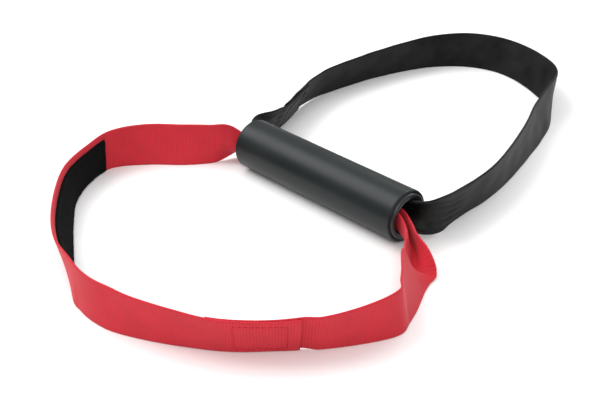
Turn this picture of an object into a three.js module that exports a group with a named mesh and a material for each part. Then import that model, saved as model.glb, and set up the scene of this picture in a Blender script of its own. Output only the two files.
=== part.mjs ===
// Hollow grip handle with two sewn webbing loops threaded through its bore.
// Lengths in millimetres. X runs along the grip, Z is up and the floor is z = 0.
// The red loop lies on the -Y side of the grip and the black loop on the +Y side.
import * as THREE from 'three';

// ---- driving dimensions ----

const WEB_WIDTH = 25.4;
const RED_THICK = 1.3;
const BLACK_THICK = 1.4;
const PATCH_THICK = 1.3;
const GAP = 0.35;

const GRIP_RADIUS = 15;
const SLEEVE_BORE_RADIUS = 13.6;
const SLEEVE_HALF_LENGTH = 61.7;
const SLEEVE_EDGE_ROUND = 1.0;
const CORE_OUTER_RADIUS = 13.3;
const CORE_INNER_RADIUS = 10.8;
const BUSH_BORE_RADIUS = 9.8;
const SPIGOT_RADIUS = 10.5;
const SPIGOT_LENGTH = 12;
const FLANGE_THICK = 0.7;
const TURN_SEGMENTS = 36;

// Patch of loop pile on the inner face of the red strap, in stations along the strap
const PATCH_START = 10.25;
const PATCH_END = 22.25;
const PATCH_LOW = -12.3;
const PATCH_HIGH = 9.0;

// Sewn laps, in stations: where the inner layer starts and where the outer layer ends
const RED_LAP = { start: 22.75, end: 24.5, settle: 25.5 };
const BLACK_LAP = { start: 25.25, end: 27.0, settle: 28.0 };

// Lines of stitching
const STITCH_WIDTH = 0.8;
const STITCH_THICK = 0.5;
const PATCH_SEAM = { start: 10.5, end: 22.0, low: -10.6, high: 7.3 };
const RED_SEAM = { start: 23.25, end: 24.25, low: -9.5, high: 9.5 };
const BLACK_SEAM = { start: 25.5, end: 26.75, low: -9.0, high: 9.0 };

// How the straps lie. Each station is the middle of the strap's width:
// [x, y, height of the lowest corner, outward lean in degrees, turn of the section in degrees].
// A positive turn folds the edges towards the loop's inside, a negative one towards its outside.
// The strap runs counter-clockwise seen from above and starts inside the bore.

const RED_FOLD_SHARE = 0.2;
const RED_STATIONS = [
  [46, -3.2, 7.8, -86, -176],
  [16, -2.6, 8.8, -72, -176],
  [-15, -3.2, 9.6, -56, -176],
  [-45, -4.2, 10.4, -42, -176],
  [-60, -4.7, 10.5, -33, -172],
  [-67.5, -6.2, 7.6, -25, -144],
  [-73.5, -9.8, 2.4, -10, -70],
  [-80.5, -16, 0, 1, -12],
  [-93, -29, 0, 12, 0],
  [-108.5, -44.5, 0, 13, 0],
  [-118, -66, 0, -2, 0],
  [-111, -87, 0, -5, 0],
  [-97, -108, 0, 5, 0],
  [-77, -125, 0, 13, 0],
  [-54, -141, 0, 18, 0],
  [-31, -154, 0, 13, 0],
  [-12, -161.5, 0, 0, 0],
  [-3, -163.4, 0, 0, 0],
  [5, -164.2, 0, 0, 0],
  [13, -163.8, 0, 0, 0],
  [21, -162.3, 0, 0, 0],
  [34, -158.3, 0, 7, 0],
  [52, -150, 0, 14, 0],
  [72, -138, 0, 21, 0],
  [89, -121, 0, 24, 0],
  [104, -101, 0, 18, 0],
  [113, -81, 0, 8, 0],
  [116, -66, 0, -3, 0],
  [111.3, -57, 0, -12, 0],
  [106.3, -48.6, 0, -19, 0],
  [100.9, -40.9, 0, -25, 0],
  [95.4, -33.9, 0, -31, -8],
  [90.4, -28, 0.2, -40, -36],
  [86, -22.4, 1.2, -64, -94],
  [82.4, -16.8, 2.4, -90, -142],
  [77.6, -11.8, 3.6, -98, -170],
  [70.2, -7.6, 5.2, -94, -176],
  [62, -4.8, 7.5, -91, -176],
  [54, -3.9, 7.7, -89, -176],
];

const BLACK_FOLD_SHARE = 1.0;
const BLACK_STATIONS = [
  [-50, 8.6, 5.7, 0, -169],
  [-20, 8.6, 5.7, 0, -169],
  [20, 8.6, 5.7, 0, -169],
  [50, 8.5, 5.7, 0, -169],
  [60.5, 8.3, 5.7, 0, -167],
  [66, 11, 3.6, 3, -125],
  [69, 19, 1, 9, -55],
  [69.5, 29, 0, 13, -12],
  [68.5, 44, 0, 14, 0],
  [67, 62, 0, 11, 0],
  [63, 82, 0, 6, 0],
  [56, 105, 0, 0, 0],
  [47, 130, 0, -6, 0],
  [37, 155, 0, -14, 0],
  [27, 180, 0, -12, 0],
  [14, 204, 0, 8, 0],
  [-6, 221, 0, 26, 0],
  [-31, 232, 0, 28, 0],
  [-54, 233, 0, 20, 0],
  [-75, 223, 0, 9, 0],
  [-90, 203, 0, -3, 0],
  [-98, 178, 0, -12, 0],
  [-103, 152, 0, -18, 0],
  [-105, 127, 0, -22, 0],
  [-105, 102, 0.3, -24, 0],
  [-99, 79, 0.95, -26, 0],
  [-89.5, 57, 0.95, -27, 0],
  [-81.5, 39, 1.1, -28, -6],
  [-75.2, 24.5, 1.3, -22, -44],
  [-69.4, 13.6, 3.4, -6, -122],
  [-60.5, 8.4, 5.7, 0, -168],
];

// ---- materials ----

const paint = (colour, roughness) =>
  new THREE.MeshStandardMaterial({ color: colour, roughness, metalness: 0 });

const RED_WEB = paint(0xc8303f, 0.8);
const BLACK_WEB = paint(0x1c1e1f, 0.7);
const PILE = paint(0x0d1011, 0.95);
const RED_THREAD = paint(0xb02634, 0.7);
const BLACK_THREAD = paint(0x141617, 0.7);
const SLEEVE_RUBBER = paint(0x2c3336, 0.45);
const CORE_PLASTIC = paint(0x222628, 0.6);
const BUSH_PLASTIC = paint(0x1d2123, 0.4);

// ---- strap geometry ----

const ROWS_PER_STATION = 12;

const columnsFor = (foldShare) => {
  const half = WEB_WIDTH / 2;
  const fold = foldShare < 1 ? half * foldShare : (half * 2) / 3;
  return [-half, -fold, -fold / 2, 0, fold / 2, fold, half];
};

// Place in the strap's section of a point s across the width and depth outwards from its middle.
function sectionPoint(s, depth, turn, foldShare) {
  const angle = THREE.MathUtils.degToRad(Math.abs(turn) < 0.01 ? 0.01 : turn);
  const reach = (foldShare * WEB_WIDTH) / 2;
  const radius = (2 * reach) / angle;
  const inFold = Math.min(Math.abs(s), reach);
  const beyond = Math.abs(s) - inFold;
  const bend = inFold / radius;
  const across = Math.sign(s) * (radius * Math.sin(bend) + beyond * Math.cos(angle / 2));
  const out = -radius * (1 - Math.cos(bend)) - beyond * Math.sin(angle / 2);
  return [across + depth * Math.sin(bend) * Math.sign(s), out + depth * Math.cos(bend)];
}

function catmullRom(a, b, c, d, t) {
  const slopeB = (c - a) / 2;
  const slopeC = (d - b) / 2;
  return (2 * t ** 3 - 3 * t ** 2 + 1) * b + (t ** 3 - 2 * t ** 2 + t) * slopeB
    + (-2 * t ** 3 + 3 * t ** 2) * c + (t ** 3 - t ** 2) * slopeC;
}

// Rows of position and directions along the closed route of a strap.
function layRoute(stations, foldShare, thick) {
  const count = stations.length;
  const total = count * ROWS_PER_STATION;
  const station = (i) => stations[((i % count) + count) % count];
  const rows = [];
  for (let k = 0; k < total; k += 1) {
    const i = Math.floor(k / ROWS_PER_STATION);
    const t = k / ROWS_PER_STATION - i;
    const [x, y, lift, lean, turn] = [0, 1, 2, 3, 4].map((c) =>
      catmullRom(station(i - 1)[c], station(i)[c], station(i + 1)[c], station(i + 2)[c], t));
    rows.push({
      place: new THREE.Vector3(x, y, 0),
      lift: Math.max(lift, 0),
      lean: THREE.MathUtils.degToRad(lean),
      turn,
    });
  }
  const route = { rows, total, foldShare, thick, columns: columnsFor(foldShare) };
  settleOnFloor(route);
  return route;
}

// Gives each row its directions across and outwards, square to the route seen from above,
// and drops the row's lowest corner to its own height.
function settleOnFloor({ rows, total, foldShare, thick, columns }) {
  const up = new THREE.Vector3(0, 0, 1);
  rows.forEach((row, k) => {
    const ahead = rows[(k + 1) % total].place;
    const behind = rows[(k + total - 1) % total].place;
    const side = ahead.clone().sub(behind).cross(up).normalize();
    row.across = up.clone().multiplyScalar(Math.cos(row.lean))
      .addScaledVector(side, Math.sin(row.lean));
    row.outward = side.multiplyScalar(Math.cos(row.lean))
      .addScaledVector(up, -Math.sin(row.lean));
  });
  rows.forEach((row) => {
    let lowest = Infinity;
    for (const s of columns) {
      for (const depth of [-thick / 2, thick / 2]) {
        const [a, b] = sectionPoint(s, depth, row.turn, foldShare);
        lowest = Math.min(lowest, a * row.across.z + b * row.outward.z);
      }
    }
    row.place.z = row.lift - lowest;
  });
}

function rowPoint(route, k, s, depth) {
  const row = route.rows[((k % route.total) + route.total) % route.total];
  const [a, b] = sectionPoint(s, depth, row.turn, route.foldShare);
  return row.place.clone().addScaledVector(row.across, a).addScaledVector(row.outward, b);
}

// Point of a route at any row, whole or not.
function routePoint(route, k, s, depth) {
  const low = Math.floor(k);
  const share = k - low;
  const point = rowPoint(route, low, s, depth);
  return share > 0 ? point.lerp(rowPoint(route, low + 1, s, depth), share) : point;
}

// Rows kept for the solids: close together where a strap bends, leans over or folds.
function keptRows(route, marks) {
  const kept = new Set(marks.map((m) => (m * ROWS_PER_STATION) % route.total));
  for (let start = 0; start < route.total; start += ROWS_PER_STATION) {
    const here = route.rows[start];
    const next = route.rows[(start + ROWS_PER_STATION) % route.total];
    const bending = THREE.MathUtils.radToDeg(here.outward.angleTo(next.outward));
    const folding = Math.abs(next.turn - here.turn);
    const steps = [1, 2, 3, 4].find((n) => bending / n < 7 && folding / n < 16) ?? 4;
    for (let j = 0; j < steps; j += 1) {
      kept.add(start + (j * ROWS_PER_STATION) / steps);
    }
  }
  return [...kept].sort((a, b) => a - b);
}

// Kept rows from one station on to another, going past the route's start if need be.
function rowsBetween(route, kept, from, to) {
  const first = from * ROWS_PER_STATION;
  const last = to * ROWS_PER_STATION;
  const inside = [...kept, ...kept.map((k) => k + route.total)].filter((k) => k > first && k < last);
  return [first, ...inside, last];
}

// ---- solids ----

function closedSolid(points, faces) {
  const volume = faces.reduce((sum, [a, b, c]) =>
    sum + points[a].dot(points[b].clone().cross(points[c])) / 6, 0);
  const outward = volume > 0 ? faces : faces.map(([a, b, c]) => [a, c, b]);
  const geometry = new THREE.BufferGeometry();
  const flat = points.flatMap((p) => p.toArray());
  geometry.setAttribute('position', new THREE.Float32BufferAttribute(flat, 3));
  geometry.setIndex(outward.flat());
  geometry.computeVertexNormals();
  return geometry;
}

// Joins rings of points of equal length into a skin. The last ring meets the first if looped.
function skin(rings, looped) {
  const size = rings[0].length;
  const points = rings.flat();
  const faces = [];
  const spans = looped ? rings.length : rings.length - 1;
  for (let i = 0; i < spans; i += 1) {
    const here = i * size;
    const next = ((i + 1) % rings.length) * size;
    for (let j = 0; j < size; j += 1) {
      const k = (j + 1) % size;
      faces.push([here + j, here + k, next + k], [here + j, next + k, next + j]);
    }
  }
  return { points, faces };
}

// Flat length of webbing between two stations. inset(row) is its distance inside the route.
function webSolid(route, kept, from, to, columns, thick, inset) {
  const rings = rowsBetween(route, kept, from, to).map((k) => {
    const face = (depth) => columns.map((s) => routePoint(route, k, s, depth - inset(k)));
    return [...face(thick / 2), ...face(-thick / 2).reverse()];
  });
  const { points, faces } = skin(rings, false);
  const size = columns.length;
  const last = (rings.length - 1) * 2 * size;
  for (let j = 0; j < size - 1; j += 1) {
    const back = 2 * size - 1 - j;
    faces.push([j, back, back - 1], [j, back - 1, j + 1]);
    faces.push([last + j, last + back - 1, last + back], [last + j, last + j + 1, last + back - 1]);
  }
  return closedSolid(points, faces);
}

// A strap sewn into a loop: its first length lies inside its last one and then comes out level.
function sewnStrap(route, kept, lap) {
  const full = route.thick + GAP;
  const lapEnd = lap.end * ROWS_PER_STATION;
  const settled = lap.settle * ROWS_PER_STATION;
  const inset = (k) => full * (1 - THREE.MathUtils.smoothstep(k, lapEnd, settled));
  const round = route.total / ROWS_PER_STATION;
  return webSolid(route, kept, lap.start, lap.end + round, route.columns, route.thick, inset);
}

// Closed rectangle of stitching that follows a strap, with its middle at the given depth.
function stitchSolid(route, kept, seam, depth) {
  const rowsPerMm = 1 / rowPoint(route, seam.start * ROWS_PER_STATION, 0, 0)
    .distanceTo(rowPoint(route, seam.start * ROWS_PER_STATION + 1, 0, 0));
  const slip = STITCH_WIDTH * rowsPerMm;
  const lengthwise = rowsBetween(route, kept, seam.start, seam.end);
  const first = lengthwise[0];
  const last = lengthwise.at(-1);
  const middle = (seam.low + seam.high) / 2;
  const inner = (k) => Math.min(Math.max(k, first + slip), last - slip);
  const low = seam.low + STITCH_WIDTH;
  const high = seam.high - STITCH_WIDTH;
  const path = [
    ...lengthwise.map((k) => [k, seam.low, inner(k), low]),
    [last, middle, last - slip, middle],
    ...lengthwise.toReversed().map((k) => [k, seam.high, inner(k), high]),
    [first, middle, first + slip, middle],
  ];
  const near = depth - STITCH_THICK / 2;
  const far = depth + STITCH_THICK / 2;
  const rings = path.map(([k, s, kIn, sIn]) => [
    routePoint(route, k, s, near),
    routePoint(route, k, s, far),
    routePoint(route, kIn, sIn, far),
    routePoint(route, kIn, sIn, near),
  ]);
  const { points, faces } = skin(rings, true);
  return closedSolid(points, faces);
}

// Closed outline of [x, radius] points turned about the grip's axis.
function turnedSolid(outline) {
  const rings = [];
  for (let i = 0; i < TURN_SEGMENTS; i += 1) {
    const angle = (i / TURN_SEGMENTS) * Math.PI * 2;
    rings.push(outline.map(([x, r]) =>
      new THREE.Vector3(x, r * Math.cos(angle), GRIP_RADIUS + r * Math.sin(angle))));
  }
  const { points, faces } = skin(rings, true);
  return closedSolid(points, faces);
}

function sleeveOutline() {
  const end = SLEEVE_HALF_LENGTH;
  const round = SLEEVE_EDGE_ROUND;
  const rightEdge = [
    [end - round, GRIP_RADIUS],
    [end - round * 0.3, GRIP_RADIUS - round * 0.3],
    [end, GRIP_RADIUS - round],
    [end, SLEEVE_BORE_RADIUS],
  ];
  const leftEdge = rightEdge.map(([x, r]) => [-x, r]).reverse();
  return [...rightEdge, ...leftEdge];
}

function coreOutline() {
  const end = SLEEVE_HALF_LENGTH - FLANGE_THICK - GAP;
  return [
    [end, CORE_OUTER_RADIUS],
    [end, CORE_INNER_RADIUS],
    [-end, CORE_INNER_RADIUS],
    [-end, CORE_OUTER_RADIUS],
  ];
}

// End bush: a spigot inside the core tube and a flange with a half-round lip around the mouth.
function bushOutline(side) {
  const faceX = SLEEVE_HALF_LENGTH;
  const backX = faceX - FLANGE_THICK;
  const tipX = backX - SPIGOT_LENGTH;
  const lipRadius = (CORE_OUTER_RADIUS - BUSH_BORE_RADIUS) / 2;
  const lipMiddle = BUSH_BORE_RADIUS + lipRadius;
  const lip = [0, 30, 60, 90, 120, 150, 180].map((degrees) => {
    const angle = THREE.MathUtils.degToRad(degrees);
    return [faceX + lipRadius * Math.sin(angle), lipMiddle - lipRadius * Math.cos(angle)];
  });
  const outline = [
    [tipX, BUSH_BORE_RADIUS],
    ...lip,
    [backX, CORE_OUTER_RADIUS],
    [backX, SPIGOT_RADIUS],
    [tipX, SPIGOT_RADIUS],
  ];
  return outline.map(([x, r]) => [side * x, r]);
}

// ---- assembly ----

const redRoute = layRoute(RED_STATIONS, RED_FOLD_SHARE, RED_THICK);
const blackRoute = layRoute(BLACK_STATIONS, BLACK_FOLD_SHARE, BLACK_THICK);
const redRows = keptRows(redRoute, [
  PATCH_START, PATCH_END, PATCH_SEAM.start, PATCH_SEAM.end,
  RED_LAP.start, RED_LAP.end, RED_LAP.settle, RED_SEAM.start, RED_SEAM.end,
]);
const blackRows = keptRows(blackRoute, [
  BLACK_LAP.start, BLACK_LAP.end, BLACK_LAP.settle, BLACK_SEAM.start, BLACK_SEAM.end,
]);

const patchDepth = -(RED_THICK / 2 + GAP + PATCH_THICK / 2);
const patchSeamDepth = patchDepth - PATCH_THICK / 2 - GAP - STITCH_THICK / 2;
const redSeamDepth = RED_THICK / 2 + GAP + STITCH_THICK / 2;
const blackSeamDepth = -(BLACK_THICK * 1.5 + GAP * 2 + STITCH_THICK / 2);

const part = new THREE.Group();
part.name = 'grip_handle_with_loops';

const add = (name, geometry, material) => {
  const mesh = new THREE.Mesh(geometry, material);
  mesh.name = name;
  part.add(mesh);
};

add('grip_sleeve', turnedSolid(sleeveOutline()), SLEEVE_RUBBER);
add('core_tube', turnedSolid(coreOutline()), CORE_PLASTIC);
add('end_bush_right', turnedSolid(bushOutline(1)), BUSH_PLASTIC);
add('end_bush_left', turnedSolid(bushOutline(-1)), BUSH_PLASTIC);

add('red_strap', sewnStrap(redRoute, redRows, RED_LAP), RED_WEB);
add('red_lap_seam', stitchSolid(redRoute, redRows, RED_SEAM, redSeamDepth), RED_THREAD);
add('pile_patch', webSolid(
  redRoute, redRows, PATCH_START, PATCH_END,
  [PATCH_LOW, ...redRoute.columns.slice(1, -1), PATCH_HIGH], PATCH_THICK, () => -patchDepth,
), PILE);
add('patch_seam', stitchSolid(redRoute, redRows, PATCH_SEAM, patchSeamDepth), BLACK_THREAD);

add('black_strap', sewnStrap(blackRoute, blackRows, BLACK_LAP), BLACK_WEB);
add('black_lap_seam', stitchSolid(blackRoute, blackRows, BLACK_SEAM, blackSeamDepth), BLACK_THREAD);

// The origin is the middle of the underside of everything.
const bounds = new THREE.Box3().setFromObject(part);
const middle = bounds.getCenter(new THREE.Vector3());
for (const mesh of part.children) {
  mesh.geometry.translate(-middle.x, -middle.y, -bounds.min.z);
}

export default part;
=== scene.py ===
"""Hollow grip handle with a red and a black webbing loop threaded through it.

The hard pieces of the grip keep their CAD shape. Both straps, the pile patch and the stitching
are made here along the same routes as their CAD solids.
"""

import math

import bpy
import numpy as np
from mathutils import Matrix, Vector


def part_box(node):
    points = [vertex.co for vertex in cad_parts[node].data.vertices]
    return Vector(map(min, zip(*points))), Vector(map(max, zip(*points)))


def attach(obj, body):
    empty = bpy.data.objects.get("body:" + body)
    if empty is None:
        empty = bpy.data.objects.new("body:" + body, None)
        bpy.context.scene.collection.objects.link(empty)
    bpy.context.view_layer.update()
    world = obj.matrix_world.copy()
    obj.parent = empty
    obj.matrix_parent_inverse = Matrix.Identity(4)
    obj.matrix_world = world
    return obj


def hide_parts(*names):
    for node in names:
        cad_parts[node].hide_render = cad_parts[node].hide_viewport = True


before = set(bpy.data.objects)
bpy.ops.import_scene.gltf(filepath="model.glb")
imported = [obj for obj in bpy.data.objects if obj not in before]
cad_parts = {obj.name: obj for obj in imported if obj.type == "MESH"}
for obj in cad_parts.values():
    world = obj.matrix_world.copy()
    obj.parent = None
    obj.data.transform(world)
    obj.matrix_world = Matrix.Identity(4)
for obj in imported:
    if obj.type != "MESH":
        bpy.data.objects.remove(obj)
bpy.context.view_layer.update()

MM = 0.001
MICRONS_IN_METRE = 1e6
UP = np.array([0.0, 0.0, 1.0])

# ---- sizes of the straps, in millimetres ----

WEB_WIDTH = 25.4
HALF_WIDTH = WEB_WIDTH / 2
RED_THICK = 1.3
BLACK_THICK = 1.4
PATCH_THICK = 1.3

# A strap gets thinner towards its edges, from EDGE_START thicknesses away down to EDGE_THIN of its
# thickness.
EDGE_START = 0.7
EDGE_THIN = 0.45

# The red ribs run across. Where they end, the strap's edges are slightly toothed.
RIB_PITCH = 1.4
RIB_HEIGHT = 0.045
RIB_ROUNDNESS = 0.7
ROWS_PER_RIB = 4
TOOTH_DEPTH = 0.08
TOOTH_SHARPNESS = 8

# Where a strap overlaps itself, its first length lies inside its last one and is narrower. It comes
# back to the middle over LAP_SETTLE. The last length narrows slightly before its cut end.
LAP_GAP = 0.15
LAP_SETTLE = 9.0
LAP_NARROWING = 0.1
TRIM_LENGTH = 5.0
TRIM_NARROWING = 0.035

# Soft waves of a face: their height, their spread along and across, and a seed. They are the sum of
# WAVES sines over WAVE_DIVISOR.
RED_SWAY = {"height": 0.18, "along": 9.0, "across": 7.0, "seed": 3}
BLACK_SWAY = {"height": 0.32, "along": 14.0, "across": 9.0, "seed": 8}
BLACK_CREASES = {"height": 0.16, "along": 5.0, "across": 2.6, "seed": 13}
PILE_CLUMPS = {"height": 0.12, "along": 0.9, "across": 0.9, "seed": 21}
WAVES = 6
WAVE_DIVISOR = 4

# Lengthwise ridges of the black strap, outside each mouth of the grip. Each group is highest at a
# distance past its station, along the strap.
RIDGE_HEIGHT = 0.28
RIDGE_PITCH = 4.6
RIDGE_WANDER = 0.6
RIDGE_WANDER_SPREAD = 9
RIGHT_RIDGES = {"station": 5, "past": 12, "spread": 14}
LEFT_RIDGES = {"station": 29, "past": -14, "spread": 12}

# The pile sinks towards the patch's long edges, which are ragged.
PATCH_GAP = 0.1
PILE_SINK = 1.2
PILE_EDGE_THICK = 0.2
PILE_FUZZ = 0.12
PILE_RAGGED = 0.16
PILE_SEED = 11

# Places of the sewn pieces: start and end are counted in stations along the strap, low and high
# are millimetres from its middle line.
PATCH = {"start": 10.25, "end": 22.25, "low": -12.3, "high": 9.0}
PATCH_SEAM = {"start": 10.5, "end": 22.0, "low": -10.6, "high": 7.3}
RED_LAP = {"start": 22.75, "end": 24.5}
RED_SEAM = {"start": 23.25, "end": 24.25, "low": -9.5, "high": 9.5}
BLACK_LAP = {"start": 25.25, "end": 27.0}
BLACK_SEAM = {"start": 25.5, "end": 26.75, "low": -9.0, "high": 9.0}

# A flat section counts as turned by this, in degrees.
LEAST_TURN = 0.01

# How finely the meshes are divided along and across. A strap's columns are part evenly spaced, by
# the share EVEN_SPACING, and part closer together at its edges.
ROWS_PER_STATION = 48
BLACK_STEP = 0.7
PATCH_STEP = 0.5
RED_COLUMNS = 25
BLACK_COLUMNS = 33
PATCH_COLUMNS = 43
EVEN_SPACING = 0.55

# Stitches: each ring is its place along the stitch, its girth and its rise in shares of the radius.
# STITCH_LIFT keeps the red ones clear of the ribs.
STITCH_PITCH = 2.6
STITCH_RADIUS = 0.2
STITCH_SPACE = 0.08
STITCH_LIFT = 0.05
STITCH_SIDES = 8
STITCH_RINGS = [
    (0.0, 0.25, -0.3), (0.12, 0.8, 0.15), (0.35, 1.0, 0.5),
    (0.65, 1.0, 0.5), (0.88, 0.8, 0.15), (1.0, 0.25, -0.3),
]
SEAM_STEP = 0.25

# Edges of the grip's pieces gentler than this, in degrees, are shaded smooth.
GENTLE_EDGE = 40.0

# The straps' routes, the same as in their CAD solids, measured from the grip's middle on the floor:
# [x, y, height of the lowest corner, outward lean in degrees, turn of the section in degrees].
# A fold share is the share of the strap's width over which its section turns.

RED_FOLD_SHARE = 0.2
RED_STATIONS = [
    [46, -3.2, 7.8, -86, -176],
    [16, -2.6, 8.8, -72, -176],
    [-15, -3.2, 9.6, -56, -176],
    [-45, -4.2, 10.4, -42, -176],
    [-60, -4.7, 10.5, -33, -172],
    [-67.5, -6.2, 7.6, -25, -144],
    [-73.5, -9.8, 2.4, -10, -70],
    [-80.5, -16, 0, 1, -12],
    [-93, -29, 0, 12, 0],
    [-108.5, -44.5, 0, 13, 0],
    [-118, -66, 0, -2, 0],
    [-111, -87, 0, -5, 0],
    [-97, -108, 0, 5, 0],
    [-77, -125, 0, 13, 0],
    [-54, -141, 0, 18, 0],
    [-31, -154, 0, 13, 0],
    [-12, -161.5, 0, 0, 0],
    [-3, -163.4, 0, 0, 0],
    [5, -164.2, 0, 0, 0],
    [13, -163.8, 0, 0, 0],
    [21, -162.3, 0, 0, 0],
    [34, -158.3, 0, 7, 0],
    [52, -150, 0, 14, 0],
    [72, -138, 0, 21, 0],
    [89, -121, 0, 24, 0],
    [104, -101, 0, 18, 0],
    [113, -81, 0, 8, 0],
    [116, -66, 0, -3, 0],
    [111.3, -57, 0, -12, 0],
    [106.3, -48.6, 0, -19, 0],
    [100.9, -40.9, 0, -25, 0],
    [95.4, -33.9, 0, -31, -8],
    [90.4, -28, 0.2, -40, -36],
    [86, -22.4, 1.2, -64, -94],
    [82.4, -16.8, 2.4, -90, -142],
    [77.6, -11.8, 3.6, -98, -170],
    [70.2, -7.6, 5.2, -94, -176],
    [62, -4.8, 7.5, -91, -176],
    [54, -3.9, 7.7, -89, -176],
]

BLACK_FOLD_SHARE = 1.0
BLACK_STATIONS = [
    [-50, 8.6, 5.7, 0, -169],
    [-20, 8.6, 5.7, 0, -169],
    [20, 8.6, 5.7, 0, -169],
    [50, 8.5, 5.7, 0, -169],
    [60.5, 8.3, 5.7, 0, -167],
    [66, 11, 3.6, 3, -125],
    [69, 19, 1, 9, -55],
    [69.5, 29, 0, 13, -12],
    [68.5, 44, 0, 14, 0],
    [67, 62, 0, 11, 0],
    [63, 82, 0, 6, 0],
    [56, 105, 0, 0, 0],
    [47, 130, 0, -6, 0],
    [37, 155, 0, -14, 0],
    [27, 180, 0, -12, 0],
    [14, 204, 0, 8, 0],
    [-6, 221, 0, 26, 0],
    [-31, 232, 0, 28, 0],
    [-54, 233, 0, 20, 0],
    [-75, 223, 0, 9, 0],
    [-90, 203, 0, -3, 0],
    [-98, 178, 0, -12, 0],
    [-103, 152, 0, -18, 0],
    [-105, 127, 0, -22, 0],
    [-105, 102, 0.3, -24, 0],
    [-99, 79, 0.95, -26, 0],
    [-89.5, 57, 0.95, -27, 0],
    [-81.5, 39, 1.1, -28, -6],
    [-75.2, 24.5, 1.3, -22, -44],
    [-69.4, 13.6, 3.4, -6, -122],
    [-60.5, 8.4, 5.7, 0, -168],
]

grip_low, grip_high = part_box("grip_sleeve")
GRIP = Vector(((grip_low.x + grip_high.x) / 2, (grip_low.y + grip_high.y) / 2, 0.0))

# ---- camera, floor and light ----

# The camera's place is measured from the grip's middle on the floor, in metres. It looks down by
# CAMERA_DOWN and is turned by CAMERA_TURN from looking along Y, in degrees.
CAMERA_PLACE = (0.374, -0.376, 0.294)
CAMERA_DOWN = 29
CAMERA_TURN = 46.4
LENS = 63.0
SENSOR_WIDTH = 36.0
NEAREST_SEEN = 0.01

FLOOR_HALF = 14.0
MIDDLE = (0.0, 0.0, 0.0)
WHITE = (1.0, 1.0, 1.0)

# Each light's name, place, width and height in metres, and power in watts.
LIGHTS = [
    ("key", (-0.9, -0.5, 1.3), (1.2, 1.2), 18.0),
    ("fill", (1.1, -1.0, 1.1), (1.0, 1.0), 11.0),
    ("back", (-0.3, 1.4, 1.1), (1.4, 0.8), 9.0),
]


def grey(value):
    return (value, value, value)


def make_camera():
    data = bpy.data.cameras.new("camera")
    data.sensor_width = SENSOR_WIDTH
    data.lens = LENS
    data.clip_start = NEAREST_SEEN
    camera = bpy.data.objects.new("camera", data)
    bpy.context.scene.collection.objects.link(camera)
    camera.location = GRIP + Vector(CAMERA_PLACE)
    camera.rotation_euler = (math.radians(90 - CAMERA_DOWN), 0.0, math.radians(CAMERA_TURN))
    bpy.context.scene.camera = camera


def make_sky():
    """Grey at the horizon and white overhead."""
    world = bpy.data.worlds.new("studio")
    world.use_nodes = True
    nodes, links = world.node_tree.nodes, world.node_tree.links
    background = nodes["Background"]
    split = nodes.new("ShaderNodeSeparateXYZ")
    links.new(nodes.new("ShaderNodeTexCoord").outputs["Generated"], split.inputs[0])
    sky = ramp(
        nodes, links, split.outputs["Z"],
        (0.0, grey(0.3)), (0.45, grey(0.36)), (0.75, WHITE),
    )
    links.new(sky, background.inputs["Color"])
    background.inputs["Strength"].default_value = 1.0
    bpy.context.scene.world = world
    bpy.context.scene.view_settings.view_transform = "Standard"


def floor_white():
    material, _, _, shader = new_material("floor_white")
    shader.inputs["Base Color"].default_value = (*grey(0.93), 1.0)
    shader.inputs["Roughness"].default_value = 0.9
    return material


def make_floor():
    half = FLOOR_HALF
    mesh = bpy.data.meshes.new("floor")
    corners = [(-half, -half, 0.0), (half, -half, 0.0), (half, half, 0.0), (-half, half, 0.0)]
    mesh.from_pydata(corners, [], [(0, 1, 2, 3)])
    floor = bpy.data.objects.new("floor", mesh)
    bpy.context.scene.collection.objects.link(floor)
    mesh.materials.append(floor_white())


def make_area_light(name, place, size, power):
    """A rectangular light that is aimed at the middle of the whole object, on the floor."""
    data = bpy.data.lights.new(name, "AREA")
    data.shape = "RECTANGLE"
    data.size, data.size_y = size
    data.energy = power
    light = bpy.data.objects.new(name, data)
    bpy.context.scene.collection.objects.link(light)
    light.location = place
    aim = Vector(MIDDLE) - Vector(place)
    light.rotation_euler = aim.to_track_quat("-Z", "Y").to_euler()


# ---- node helpers ----

# Sockets of a Mix node that blends colours.
MIX_FACTOR = 0
MIX_FIRST = 6
MIX_SECOND = 7
MIX_RESULT = 2


def new_material(name):
    material = bpy.data.materials.new(name)
    material.use_nodes = True
    nodes = material.node_tree.nodes
    links = material.node_tree.links
    return material, nodes, links, nodes["Principled BSDF"]


def math_node(nodes, links, operation, first, second=None):
    """The result of a Math node on one or two inputs, each a socket or a number."""
    node = nodes.new("ShaderNodeMath")
    node.operation = operation
    for socket, value in zip(node.inputs, (first, second)):
        if isinstance(value, (int, float)):
            socket.default_value = value
        elif value is not None:
            links.new(value, socket)
    return node.outputs[0]


def times(nodes, links, value, factor):
    return math_node(nodes, links, "MULTIPLY", value, factor)


def plus(nodes, links, first, second):
    return math_node(nodes, links, "ADD", first, second)


def wave(nodes, links, place, pitch):
    """A wave from -1 to 1 that repeats every pitch."""
    return math_node(nodes, links, "SINE", times(nodes, links, place, 2 * math.pi / pitch))


def noise(nodes, links, vector, scale, detail):
    node = nodes.new("ShaderNodeTexNoise")
    node.inputs["Scale"].default_value = scale
    node.inputs["Detail"].default_value = detail
    links.new(vector, node.inputs["Vector"])
    return node.outputs["Fac"]


def ramp(nodes, links, factor, *stops):
    """Colours at places from 0 to 1."""
    node = nodes.new("ShaderNodeValToRGB")
    elements = node.color_ramp.elements
    while len(elements) < len(stops):
        elements.new(0.5)
    for element, (place, colour) in zip(elements, stops):
        element.position = place
        element.color = (*colour, 1.0)
    links.new(factor, node.inputs["Fac"])
    return node.outputs["Color"]


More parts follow.
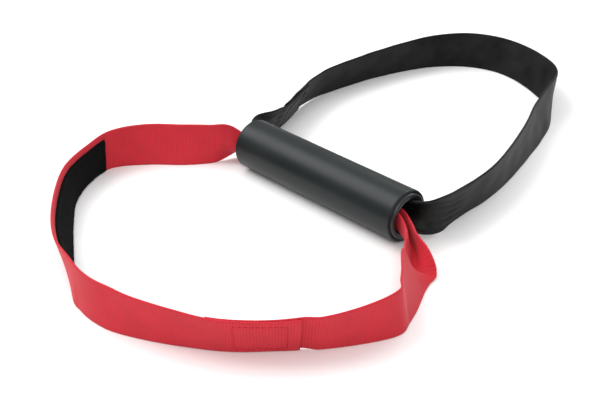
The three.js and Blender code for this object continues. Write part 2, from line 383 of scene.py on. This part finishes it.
def mottle(nodes, links, base, pattern, low, high, share):
    """A base colour multiplied, by a share, with a pattern's tint between its low and high stops."""
    tint = ramp(nodes, links, pattern, low, high)
    node = nodes.new("ShaderNodeMix")
    node.data_type = "RGBA"
    node.blend_type = "MULTIPLY"
    node.inputs[MIX_FACTOR].default_value = share
    links.new(base, node.inputs[MIX_FIRST])
    links.new(tint, node.inputs[MIX_SECOND])
    return node.outputs[MIX_RESULT]


def bump(nodes, links, shader, height, strength, distance):
    node = nodes.new("ShaderNodeBump")
    node.inputs["Strength"].default_value = strength
    node.inputs["Distance"].default_value = distance
    links.new(height, node.inputs["Height"])
    links.new(node.outputs["Normal"], shader.inputs["Normal"])


def strap_places(nodes, links):
    """Distances along and across a strap in millimetres, from its UV map, and the UV vector itself."""
    uv = nodes.new("ShaderNodeUVMap")
    uv.uv_map = "web"
    split = nodes.new("ShaderNodeSeparateXYZ")
    links.new(uv.outputs["UV"], split.inputs[0])
    return split.outputs["X"], split.outputs["Y"], uv.outputs["UV"]


# ---- materials ----

def red_webbing():
    material, nodes, links, shader = new_material("red_webbing")
    along, across, uv = strap_places(nodes, links)
    # Painted shade: the base colour darkens from the ribs' crests down into the grooves between them,
    # standing in for the shade that falls in the grooves.
    shaded_groove, flank, lit_crest = (0.52, 0.016, 0.028), (0.59, 0.021, 0.036), (0.62, 0.025, 0.042)
    rib = math_node(nodes, links, "ABSOLUTE", wave(nodes, links, along, pitch=2 * RIB_PITCH))
    strand = wave(nodes, links, across, pitch=0.62)
    fade = noise(nodes, links, uv, scale=0.09, detail=3.0)
    fleck = noise(nodes, links, uv, scale=1.7, detail=2.0)
    base = ramp(nodes, links, rib, (0.0, shaded_groove), (0.5, flank), (1.0, lit_crest))
    base = mottle(nodes, links, base, fade, (0.3, (0.62, 0.6, 0.6)), (0.7, WHITE), share=0.28)
    base = mottle(nodes, links, base, fleck, (0.3, (0.6, 0.5, 0.5)), (0.7, WHITE), share=0.35)
    links.new(base, shader.inputs["Base Color"])
    shader.inputs["Roughness"].default_value = 0.72
    shader.inputs["Specular IOR Level"].default_value = 0.26
    shader.inputs["Sheen Weight"].default_value = 0.16
    shader.inputs["Sheen Roughness"].default_value = 0.4
    shader.inputs["Sheen Tint"].default_value = (1.0, 0.5, 0.52, 1.0)
    height = plus(nodes, links, times(nodes, links, strand, 0.35), fleck)
    bump(nodes, links, shader, height, strength=0.35, distance=0.00012)
    return material


def black_webbing():
    material, nodes, links, shader = new_material("black_webbing")
    along, across, uv = strap_places(nodes, links)
    dark, light = (0.002, 0.0023, 0.002), (0.0105, 0.0115, 0.0102)
    slant = plus(nodes, links, along, math_node(nodes, links, "ABSOLUTE", across))
    twill = wave(nodes, links, slant, pitch=0.9)
    strand = wave(nodes, links, across, pitch=1.1)
    patchy = noise(nodes, links, uv, scale=0.07, detail=5.0)
    fleck = noise(nodes, links, uv, scale=1.4, detail=3.0)
    base = ramp(nodes, links, patchy, (0.35, dark), (0.65, light))
    base = mottle(nodes, links, base, fleck, (0.3, grey(0.55)), (0.75, WHITE), share=0.5)
    links.new(base, shader.inputs["Base Color"])
    roughness = plus(nodes, links, times(nodes, links, fleck, 0.2), 0.42)
    links.new(roughness, shader.inputs["Roughness"])
    shader.inputs["Specular IOR Level"].default_value = 0.16
    shader.inputs["Sheen Weight"].default_value = 0.02
    shader.inputs["Sheen Roughness"].default_value = 0.35
    height = plus(nodes, links, times(nodes, links, twill, 0.5), times(nodes, links, strand, 0.4))
    bump(nodes, links, shader, height, strength=0.14, distance=0.0001)
    return material


def looped_pile():
    material, nodes, links, shader = new_material("looped_pile")
    _, _, uv = strap_places(nodes, links)
    dark, light = (0.001, 0.0014, 0.0015), (0.0065, 0.0085, 0.009)
    clumps = noise(nodes, links, uv, scale=0.5, detail=4.0)
    fibres = noise(nodes, links, uv, scale=3.0, detail=4.0)
    base = ramp(nodes, links, fibres, (0.35, dark), (0.7, light))
    base = mottle(nodes, links, base, clumps, (0.3, grey(0.5)), (0.7, WHITE), share=0.5)
    links.new(base, shader.inputs["Base Color"])
    shader.inputs["Roughness"].default_value = 0.95
    shader.inputs["Specular IOR Level"].default_value = 0.05
    shader.inputs["Sheen Weight"].default_value = 0.01
    bump(nodes, links, shader, fibres, strength=0.8, distance=0.0004)
    return material


def thread(name, dark, light):
    """Sewing thread with a fine twist."""
    material, nodes, links, shader = new_material(name)
    coords = nodes.new("ShaderNodeTexCoord").outputs["Object"]
    twist = noise(nodes, links, coords, scale=2600.0, detail=2.0)
    links.new(ramp(nodes, links, twist, (0.3, dark), (0.7, light)), shader.inputs["Base Color"])
    shader.inputs["Roughness"].default_value = 0.65
    shader.inputs["Specular IOR Level"].default_value = 0.12
    bump(nodes, links, shader, twist, strength=0.4, distance=0.0001)
    return material


def red_thread():
    return thread("red_thread", dark=(0.42, 0.014, 0.024), light=(0.56, 0.024, 0.038))


def black_thread():
    return thread("black_thread", dark=(0.002, 0.0024, 0.0024), light=(0.006, 0.0066, 0.0066))


def moulded(name, dark, light, roughness, specular, grain_scale, grain_depth):
    """Moulded rubber or plastic with a fine grain and small changes of gloss."""
    material, nodes, links, shader = new_material(name)
    coords = nodes.new("ShaderNodeTexCoord").outputs["Object"]
    grain = noise(nodes, links, coords, scale=grain_scale, detail=3.0)
    cloud = noise(nodes, links, coords, scale=35.0, detail=3.0)
    links.new(ramp(nodes, links, cloud, (0.3, dark), (0.7, light)), shader.inputs["Base Color"])
    gloss = plus(nodes, links, times(nodes, links, cloud, 0.12), roughness)
    links.new(gloss, shader.inputs["Roughness"])
    shader.inputs["Specular IOR Level"].default_value = specular
    bump(nodes, links, shader, grain, strength=0.25, distance=grain_depth)
    return material


def sleeve_rubber():
    return moulded(
        "sleeve_rubber", dark=(0.008, 0.0118, 0.012), light=(0.012, 0.0162, 0.0165),
        roughness=0.32, specular=0.26, grain_scale=1400.0, grain_depth=0.00006,
    )


def core_plastic():
    return moulded(
        "core_plastic", dark=(0.02, 0.023, 0.024), light=(0.028, 0.031, 0.032),
        roughness=0.5, specular=0.4, grain_scale=900.0, grain_depth=0.00005,
    )


def bush_plastic():
    return moulded(
        "bush_plastic", dark=(0.008, 0.0095, 0.0105), light=(0.012, 0.014, 0.015),
        roughness=0.3, specular=0.5, grain_scale=700.0, grain_depth=0.00003,
    )


# ---- the straps' routes ----

def section(offset, depth, turn, fold_share):
    """Places across and outwards of points of the section, which is bent round by its turn.

    The points are offset from the strap's middle line and lie at a depth from the middle of its
    thickness. The bend takes up fold_share of the width, in the middle, and the rest is straight.
    """
    angle = np.radians(np.where(np.abs(turn) < LEAST_TURN, LEAST_TURN, turn))
    reach = fold_share * WEB_WIDTH / 2
    radius = 2 * reach / angle
    in_fold = np.minimum(np.abs(offset), reach)
    beyond = np.abs(offset) - in_fold
    bend = in_fold / radius
    across = np.sign(offset) * (radius * np.sin(bend) + beyond * np.cos(angle / 2))
    out = -radius * (1 - np.cos(bend)) - beyond * np.sin(angle / 2)
    return across + depth * np.sin(bend) * np.sign(offset), out + depth * np.cos(bend)


class Route:
    """The closed line that a strap follows, with its directions, the same as in its CAD solid."""

    def __init__(self, stations, fold_share, thick):
        self.fold_share = fold_share
        self.thick = thick
        self.count = len(stations)
        table = np.array(stations, float)
        steps = np.arange(self.count * ROWS_PER_STATION)
        index = steps // ROWS_PER_STATION
        t = (steps / ROWS_PER_STATION - index)[:, None]
        before, here, after, later = (table[(index + k) % self.count] for k in (-1, 0, 1, 2))
        slope_here, slope_after = (after - before) / 2, (later - here) / 2
        values = (
            (2 * t**3 - 3 * t**2 + 1) * here
            + (t**3 - 2 * t**2 + t) * slope_here
            + (-2 * t**3 + 3 * t**2) * after
            + (t**3 - t**2) * slope_after
        )
        self.lift = np.maximum(values[:, 2], 0)
        self.lean = np.radians(values[:, 3])[:, None]
        self.turn = values[:, 4]
        self.place = np.column_stack([values[:, :2], np.zeros(len(values))])
        self.settle()
        gaps = np.linalg.norm(np.roll(self.place, -1, axis=0) - self.place, axis=1)
        self.dist = np.concatenate([[0], np.cumsum(gaps)])
        self.length = self.dist[-1]

    def settle(self):
        """Directions across and outwards, and the height that puts the lowest corner at its lift."""
        along = np.roll(self.place, -1, axis=0) - np.roll(self.place, 1, axis=0)
        side = np.cross(along, UP)
        side /= np.linalg.norm(side, axis=1)[:, None]
        self.across = UP * np.cos(self.lean) + side * np.sin(self.lean)
        self.outward = side * np.cos(self.lean) - UP * np.sin(self.lean)
        # The section's lowest corner is at one of these columns.
        fold = HALF_WIDTH * self.fold_share if self.fold_share < 1 else HALF_WIDTH * 2 / 3
        columns = np.array([-HALF_WIDTH, -fold, -fold / 2, 0, fold / 2, fold, HALF_WIDTH])
        offset, depth = np.meshgrid(columns, [-self.thick / 2, self.thick / 2])
        corners = section(offset.ravel(), depth.ravel(), self.turn[:, None], self.fold_share)
        heights = corners[0] * self.across[:, 2:] + corners[1] * self.outward[:, 2:]
        self.place[:, 2] = self.lift - heights.min(axis=1)

    def distance(self, station):
        """Distance along the strap of a station, counting on past the route's start."""
        rounds, rest = divmod(station, self.count)
        within = np.interp(rest * ROWS_PER_STATION, np.arange(len(self.dist)), self.dist)
        return rounds * self.length + within

    def read(self, dist, column):
        """One of the route's values at distances along it, going round past its start."""
        return np.interp(np.mod(dist, self.length), self.dist, np.append(column, column[0]))

    def read_vector(self, dist, rows):
        return np.column_stack([self.read(dist, rows[:, axis]) for axis in range(3)])

    def surface(self, dist, offset, depth):
        """Points in millimetres, in rows at distances along, offset across and at a depth."""
        place = self.read_vector(dist, self.place)
        across = self.read_vector(dist, self.across)
        outward = self.read_vector(dist, self.outward)
        across /= np.linalg.norm(across, axis=1)[:, None]
        outward /= np.linalg.norm(outward, axis=1)[:, None]
        turn = self.read(dist, self.turn)[:, None]
        sideways, out = section(offset, depth, turn, self.fold_share)
        return place[:, None] + sideways[..., None] * across[:, None] + out[..., None] * outward[:, None]


def to_row_frame(points):
    return points * MM + np.array(GRIP)


# ---- straps and patch ----

def soft_waves(dist, offset, height, along, across, seed):
    """Soft waves over a strap's face, made from a few sines."""
    rng = np.random.default_rng(seed)
    x = dist[:, None] / along
    y = offset[None, :] / across
    total = 0
    for _ in range(WAVES):
        angle = rng.uniform(0, math.pi)
        phase = rng.uniform(0, 2 * math.pi)
        scale = rng.uniform(0.5, 1.6)
        total = total + np.sin(scale * (x * math.cos(angle) + y * math.sin(angle)) + phase)
    return height * (total / WAVE_DIVISOR)


def quads(grid, flip):
    """Faces between the neighbouring rows and columns of a grid of vertex numbers."""
    corners = [grid[:-1, :-1], grid[1:, :-1], grid[1:, 1:], grid[:-1, 1:]]
    faces = np.stack(corners, axis=-1).reshape(-1, 4)
    return faces[:, ::-1] if flip else faces


def slab(name, route, dist, across, outer, inner, material):
    """A closed strip with grids of depths for its outer and inner face. Its UVs are millimetres."""
    top = to_row_frame(route.surface(dist, across, outer))
    bottom = to_row_frame(route.surface(dist, across, inner))
    index = np.arange(across.size).reshape(across.shape)
    below = index + across.size
    faces = np.concatenate([
        quads(index, True),
        quads(below, False),
        quads(np.stack([index[:, 0], below[:, 0]], axis=1), False),
        quads(np.stack([index[:, -1], below[:, -1]], axis=1), True),
        quads(np.stack([index[0], below[0]], axis=0), False),
        quads(np.stack([index[-1], below[-1]], axis=0), True),
    ])
    points = np.concatenate([top.reshape(-1, 3), bottom.reshape(-1, 3)])
    mesh = bpy.data.meshes.new(name)
    mesh.from_pydata(points.tolist(), [], faces.tolist())
    uv = np.stack(np.broadcast_arrays(dist[:, None], across), axis=-1)
    uv = np.concatenate([uv.reshape(-1, 2)] * 2)
    layer = mesh.uv_layers.new(name="web")
    loops = np.zeros(len(mesh.loops), np.int32)
    mesh.loops.foreach_get("vertex_index", loops)
    layer.data.foreach_set("uv", uv[loops].astype(np.float32).ravel())
    return new_piece(name, mesh, material)


def new_piece(name, mesh, material):
    """An object with smooth shading and one material."""
    mesh.polygons.foreach_set("use_smooth", np.ones(len(mesh.polygons), bool))
    mesh.materials.append(material)
    piece = bpy.data.objects.new(name, mesh)
    bpy.context.scene.collection.objects.link(piece)
    return piece


def lap_inset(route, lap, dist):
    """Depth by which the first length of a sewn strap lies inside its last one."""
    t = np.clip((dist - route.distance(lap["end"])) / LAP_SETTLE, 0, 1)
    return ((route.thick + LAP_GAP) * (1 - t * t * (3 - 2 * t)))[:, None]


def lap_width(route, lap, dist):
    """Share of the full width: less where the inner layer starts and where the outer layer is cut."""
    start, lap_end = route.distance(lap["start"]), route.distance(lap["end"])
    cut = route.distance(lap["end"] + route.count)
    hidden = np.clip((lap_end - dist) / (lap_end - start), 0, 1)
    trimmed = np.clip((dist - cut + TRIM_LENGTH) / TRIM_LENGTH, 0, 1)
    return (1 - LAP_NARROWING * hidden - TRIM_NARROWING * trimmed**2)[:, None]


def edge_round(offset, thick):
    """Half thickness across a strap, rounded off at its two edges."""
    from_edge = np.clip((HALF_WIDTH - np.abs(offset)) / (thick * EDGE_START), 0, 1)
    round_off = np.sqrt(1 - (1 - from_edge) ** 2)
    return thick / 2 * (EDGE_THIN + (1 - EDGE_THIN) * round_off)


def cross_columns(count):
    """Offsets across a strap, closer together at its edges."""
    t = np.linspace(-1, 1, count)
    return HALF_WIDTH * (EVEN_SPACING * t + (1 - EVEN_SPACING) * np.sin(t * math.pi / 2))


def make_red_strap(route, material):
    start = route.distance(RED_LAP["start"])
    end = route.distance(RED_LAP["end"] + route.count)
    dist = np.arange(start, end, RIB_PITCH / ROWS_PER_RIB)
    offset = cross_columns(RED_COLUMNS)
    rib = np.abs(np.sin(math.pi * dist / RIB_PITCH))[:, None]
    swell = RIB_HEIGHT * (rib**RIB_ROUNDNESS - 0.5)
    at_edges = np.sign(offset) * (np.abs(offset) / HALF_WIDTH) ** TOOTH_SHARPNESS
    tooth = TOOTH_DEPTH * (rib - 0.5) * at_edges[None, :]
    across = (offset[None, :] + tooth) * lap_width(route, RED_LAP, dist)
    middle = soft_waves(dist, offset, **RED_SWAY) - lap_inset(route, RED_LAP, dist)
    half = edge_round(offset, RED_THICK)[None, :] + swell
    piece = slab("red_webbing_loop", route, dist, across, middle + half, middle - half, material)
    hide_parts("red_strap")
    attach(piece, "red_loop")


def beside_mouth(route, dist, ridges):
    """1 where a mouth's ridges are highest, falling to 0 on either side."""
    around = np.mod(dist, route.length)
    past_mouth = around - route.distance(ridges["station"])
    return np.exp(-(((past_mouth - ridges["past"]) / ridges["spread"]) ** 2))


def black_ridges(route, dist, offset):
    """Lengthwise ridges that wander from side to side, beside the grip's two mouths."""
    near = beside_mouth(route, dist, RIGHT_RIDGES) + beside_mouth(route, dist, LEFT_RIDGES)
    wander = RIDGE_WANDER * np.sin(dist[:, None] / RIDGE_WANDER_SPREAD)
    return RIDGE_HEIGHT * near[:, None] * np.sin(2 * math.pi * offset[None, :] / RIDGE_PITCH + wander)


def make_black_strap(route, material):
    start = route.distance(BLACK_LAP["start"])
    end = route.distance(BLACK_LAP["end"] + route.count)
    dist = np.arange(start, end, BLACK_STEP)
    offset = cross_columns(BLACK_COLUMNS)
    across = offset[None, :] * lap_width(route, BLACK_LAP, dist)
    sway = soft_waves(dist, offset, **BLACK_SWAY) + soft_waves(dist, offset, **BLACK_CREASES)
    middle = sway + black_ridges(route, dist, offset) - lap_inset(route, BLACK_LAP, dist)
    half = edge_round(offset, BLACK_THICK)[None, :]
    piece = slab("black_webbing_loop", route, dist, across, middle + half, middle - half, material)
    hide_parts("black_strap")
    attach(piece, "black_loop")


def make_patch(route, material):
    start, end = route.distance(PATCH["start"]), route.distance(PATCH["end"])
    dist = np.arange(start, end, PATCH_STEP)
    offset = np.linspace(PATCH["low"], PATCH["high"], PATCH_COLUMNS)
    rng = np.random.default_rng(PILE_SEED)
    fuzz = PILE_FUZZ * rng.uniform(-1, 1, (len(dist), len(offset)))
    clumps = soft_waves(dist, offset, **PILE_CLUMPS)
    ragged = PILE_RAGGED * rng.uniform(-1, 1, (len(dist), 2))
    near_edge = np.minimum(offset - PATCH["low"], PATCH["high"] - offset)
    sink = np.clip(near_edge / PILE_SINK, 0, 1) ** 0.5
    thick = PATCH_THICK / 2 * (PILE_EDGE_THICK + (1 - PILE_EDGE_THICK) * sink[None, :])
    middle = -(RED_THICK / 2 + PATCH_GAP + PATCH_THICK / 2)
    outer = np.full((len(dist), len(offset)), middle + PATCH_THICK / 2)
    inner = middle - thick - fuzz - clumps
    across = np.broadcast_to(offset, outer.shape).copy()
    across[:, 0] += ragged[:, 0]
    across[:, -1] += ragged[:, 1]
    piece = slab("looped_pile_patch", route, dist, across, outer, inner, material)
    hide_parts("pile_patch")
    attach(piece, "red_loop")


# ---- stitching ----

def capsule(first, last, normal):
    """Points and faces of one raised stitch between two points on a surface."""
    along = last - first
    along /= np.linalg.norm(along)
    side = np.cross(along, normal)
    side /= np.linalg.norm(side)
    up = np.cross(side, along)
    sides, rings = STITCH_SIDES, len(STITCH_RINGS)
    points = []
    for place, girth, rise in STITCH_RINGS:
        centre = first + (last - first) * place + up * rise * STITCH_RADIUS
        for k in range(sides):
            angle = 2 * math.pi * k / sides
            spoke = math.cos(angle) * side + math.sin(angle) * up
            points.append(centre + girth * STITCH_RADIUS * spoke)
    faces = []
    for ring in range(rings - 1):
        low, high = ring * sides, (ring + 1) * sides
        for k in range(sides):
            beside = (k + 1) % sides
            faces.append((low + k, low + beside, high + beside, high + k))
    faces.append(tuple(range(sides - 1, -1, -1)))
    faces.append(tuple(range((rings - 1) * sides, rings * sides)))
    return points, faces


def rectangle(route, seam):
    """Corners of a seam, given as (distance along, offset across)."""
    start, end = route.distance(seam["start"]), route.distance(seam["end"])
    low, high = seam["low"], seam["high"]
    return [(start, low), (end, low), (end, high), (start, high), (start, low)]


def seam_line(corners):
    """Fine points of a stitch line through its corners."""
    spots = []
    for (dist, offset), (next_dist, next_offset) in zip(corners[:-1], corners[1:]):
        steps = max(2, int(math.hypot(next_dist - dist, next_offset - offset) / SEAM_STEP))
        for t in np.linspace(0, 1, steps, endpoint=False):
            spots.append((dist + (next_dist - dist) * t, offset + (next_offset - offset) * t))
    spots.append(corners[-1])
    return np.array(spots)


def face_point(route, dist, offset, depth):
    """A point on a face of the strap, and the direction away from the strap there."""
    dist, offset, depth = np.array([dist]), np.array([[offset]]), np.array([[depth]])
    point = route.surface(dist, offset, depth)[0, 0]
    away = route.surface(dist, offset, depth + np.sign(depth))[0, 0]
    return point, away - point


def make_stitches(name, route, seam, depth, material, node, body):
    """A rectangle of separate stitches on one face of a strap."""
    spots = seam_line(rectangle(route, seam))
    gaps = np.hypot(*np.diff(spots, axis=0).T)
    run = np.concatenate([[0], np.cumsum(gaps)])
    marks = np.linspace(0, run[-1], round(run[-1] / STITCH_PITCH) + 1)
    points, faces = [], []
    for start, end in zip(marks[:-1], marks[1:]):
        space = (end - start) * STITCH_SPACE
        ends = []
        for mark in (start + space, end - space):
            dist, offset = np.interp(mark, run, spots[:, 0]), np.interp(mark, run, spots[:, 1])
            ends.append(face_point(route, dist, offset, depth))
        (first, normal), (last, _) = ends
        stitch_points, stitch_faces = capsule(first, last, normal)
        faces.extend(tuple(corner + len(points) for corner in face) for face in stitch_faces)
        points.extend(stitch_points)
    mesh = bpy.data.meshes.new(name)
    mesh.from_pydata(to_row_frame(np.array(points)).tolist(), [], faces)
    piece = new_piece(name, mesh, material)
    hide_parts(node)
    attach(piece, body)


# ---- grip ----

def soften(mesh):
    """Smooth shading over the gentle edges of a CAD mesh, with its vertices left as they are."""
    count = len(mesh.loops)
    vertex = np.zeros(count, np.int32)
    mesh.loops.foreach_get("vertex_index", vertex)
    places = np.zeros(len(mesh.vertices) * 3, np.float32)
    mesh.vertices.foreach_get("co", places)
    places = places.reshape(-1, 3)[vertex]
    face_of = np.zeros(count, np.int32)
    for polygon in mesh.polygons:
        face_of[polygon.loop_start:polygon.loop_start + polygon.loop_total] = polygon.index
    face_normals = np.array([polygon.normal for polygon in mesh.polygons])
    areas = np.array([polygon.area for polygon in mesh.polygons])
    microns = np.round(places * MICRONS_IN_METRE).astype(np.int64)
    _, spot = np.unique(microns, axis=0, return_inverse=True)
    spot = spot.ravel()
    order = np.argsort(spot, kind="stable")
    groups = np.split(order, np.flatnonzero(np.diff(spot[order])) + 1)
    limit = math.cos(math.radians(GENTLE_EDGE))
    normals = np.zeros((count, 3))
    for group in groups:
        own = face_normals[face_of[group]]
        near = (own @ own.T) > limit
        blended = near @ (own * areas[face_of[group]][:, None])
        normals[group] = blended / np.linalg.norm(blended, axis=1)[:, None]
    mesh.polygons.foreach_set("use_smooth", np.ones(len(mesh.polygons), bool))
    mesh.normals_split_custom_set(normals.tolist())


def dress(node, material):
    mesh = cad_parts[node].data
    mesh.materials.clear()
    mesh.materials.append(material)
    soften(mesh)


make_camera()
make_sky()
make_floor()
for light in LIGHTS:
    make_area_light(*light)

red_route = Route(RED_STATIONS, RED_FOLD_SHARE, RED_THICK)
black_route = Route(BLACK_STATIONS, BLACK_FOLD_SHARE, BLACK_THICK)

make_red_strap(red_route, red_webbing())
make_black_strap(black_route, black_webbing())
make_patch(red_route, looped_pile())

red_sewing = red_thread()
black_sewing = black_thread()
red_lap_face = RED_THICK / 2 + STITCH_LIFT
patch_face = -(RED_THICK / 2 + PATCH_GAP + PATCH_THICK)
black_lap_face = -(BLACK_THICK / 2 + LAP_GAP + BLACK_THICK)
make_stitches(
    "red_lap_stitches", red_route, RED_SEAM, red_lap_face,
    red_sewing, "red_lap_seam", "red_loop",
)
make_stitches(
    "patch_stitches", red_route, PATCH_SEAM, patch_face,
    black_sewing, "patch_seam", "red_loop",
)
make_stitches(
    "black_lap_stitches", black_route, BLACK_SEAM, black_lap_face,
    black_sewing, "black_lap_seam", "black_loop",
)

dress("grip_sleeve", sleeve_rubber())
dress("core_tube", core_plastic())
bush = bush_plastic()
dress("end_bush_left", bush)
dress("end_bush_right", bush)
